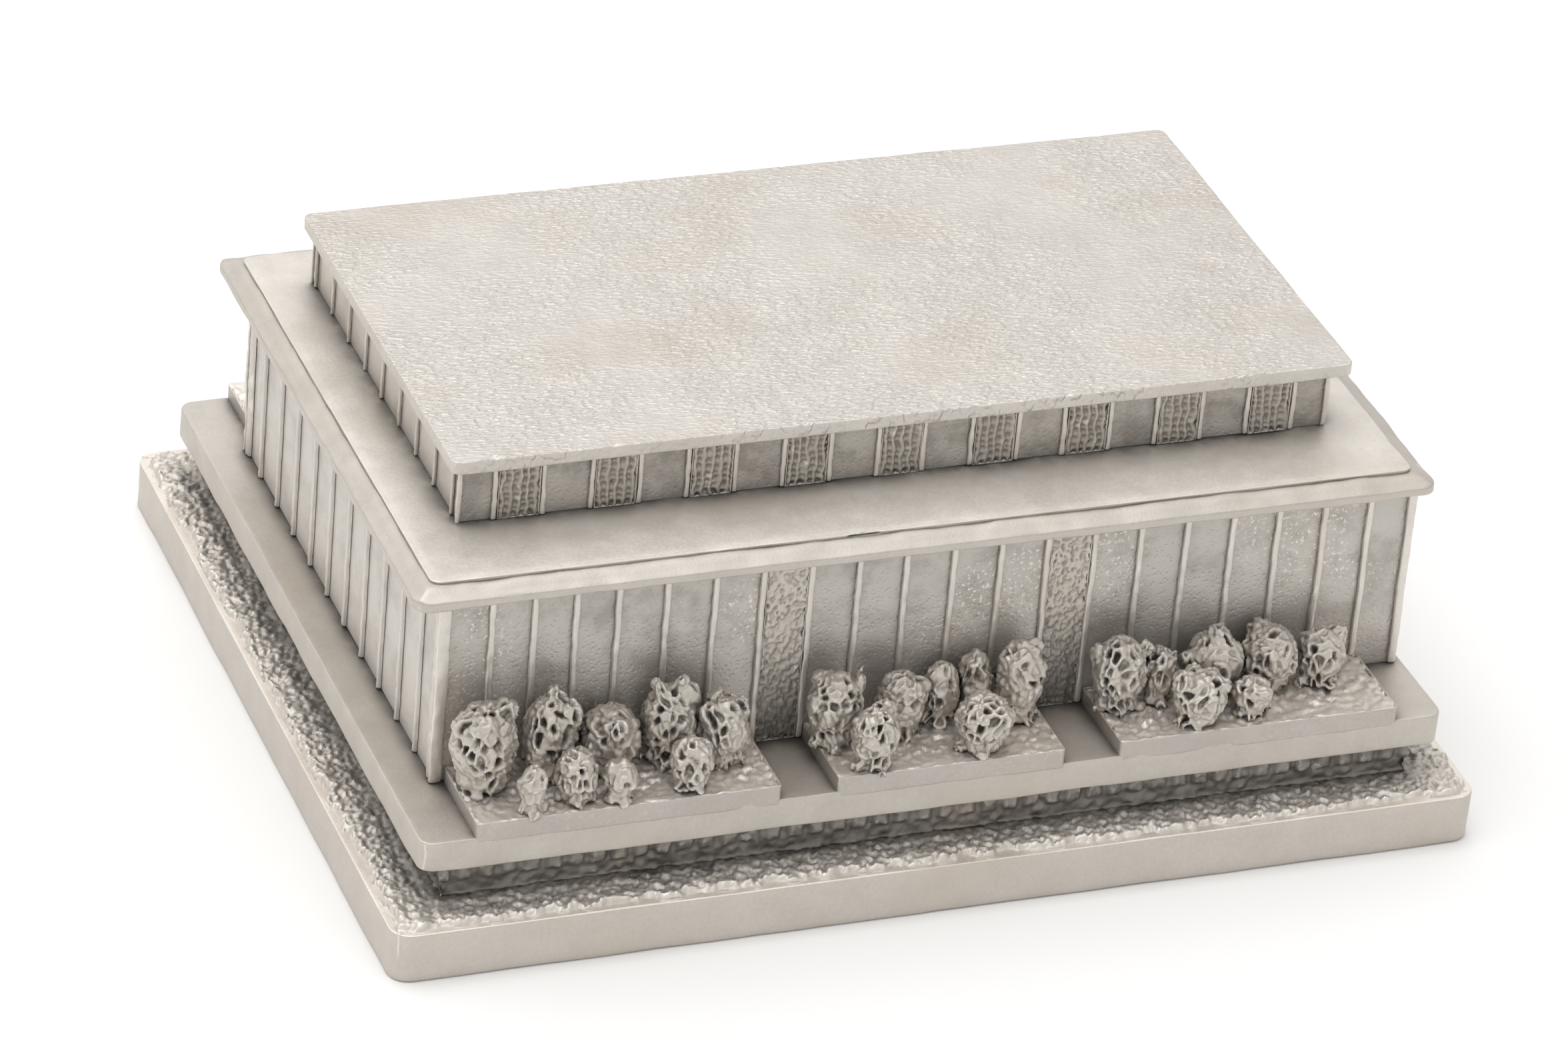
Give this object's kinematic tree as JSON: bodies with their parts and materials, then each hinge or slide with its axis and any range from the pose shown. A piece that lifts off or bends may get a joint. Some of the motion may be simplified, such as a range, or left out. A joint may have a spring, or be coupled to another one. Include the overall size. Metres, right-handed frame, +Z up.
{
  "type": "miniature landmark model",
  "caption": "Cast pewter miniature of a long modernist hall with ribbed walls, a flat roof and a setback upper storey, on a planted terrace and a stepped plinth.",
  "frame": {"origin": "middle of the underside of the plinth", "axes": "+X along the long entrance front, the front faces -Y, +Z up"},
  "size_m": [0.09, 0.074, 0.0351],
  "materials": {
    "pewter": "satin cast pewter, light warm grey, antiqued dark in the recesses",
    "patinated_pewter": "rough cast pewter with dark patina left in the hollows"
  },
  "bodies": {
    "root": {"base_plinth": "pewter", "cornice_slab": "pewter", "deck_panel": "pewter", "front_bed_centre": "pewter", "front_bed_left": "pewter", "front_bed_right": "pewter", "front_door_grilles": "pewter", "ground_slab": "patinated_pewter", "hall_front_ribs": "pewter", "hall_front_wall": "pewter", "hall_left_ribs": "pewter", "hall_left_wall": "pewter", "hall_rear_ribs": "pewter", "hall_rear_wall": "pewter", "hall_right_ribs": "pewter", "hall_right_wall": "pewter", "penthouse_front_fins": "pewter", "penthouse_front_louvres": "pewter", "penthouse_front_wall": "pewter", "penthouse_left_fins": "pewter", "penthouse_left_wall": "pewter", "penthouse_rear_fins": "pewter", "penthouse_rear_louvres": "pewter", "penthouse_rear_wall": "pewter", "penthouse_right_fins": "pewter", "penthouse_right_wall": "pewter", "podium": "patinated_pewter", "rear_bed_centre": "pewter", "rear_bed_left": "pewter", "rear_bed_right": "pewter", "rear_door_grilles": "pewter", "rear_shrubs_centre": "patinated_pewter", "rear_shrubs_left": "patinated_pewter", "rear_shrubs_right": "patinated_pewter", "roof_slab": "pewter", "shrub_centre_1": "patinated_pewter", "shrub_centre_2": "patinated_pewter", "shrub_centre_3": "patinated_pewter", "shrub_centre_4": "patinated_pewter", "shrub_centre_5": "patinated_pewter", "shrub_centre_6": "patinated_pewter", "shrub_centre_7": "patinated_pewter", "shrub_left_1": "patinated_pewter", "shrub_left_2": "patinated_pewter", "shrub_left_3": "patinated_pewter", "shrub_left_4": "patinated_pewter", "shrub_left_5": "patinated_pewter", "shrub_left_6": "patinated_pewter", "shrub_left_7": "patinated_pewter", "shrub_left_8": "patinated_pewter", "shrub_left_9": "patinated_pewter", "shrub_right_1": "patinated_pewter", "shrub_right_2": "patinated_pewter", "shrub_right_3": "patinated_pewter", "shrub_right_4": "patinated_pewter", "shrub_right_5": "patinated_pewter", "shrub_right_6": "patinated_pewter", "shrub_right_7": "patinated_pewter", "terrace_slab": "pewter"}
  },
  "joints": []
}
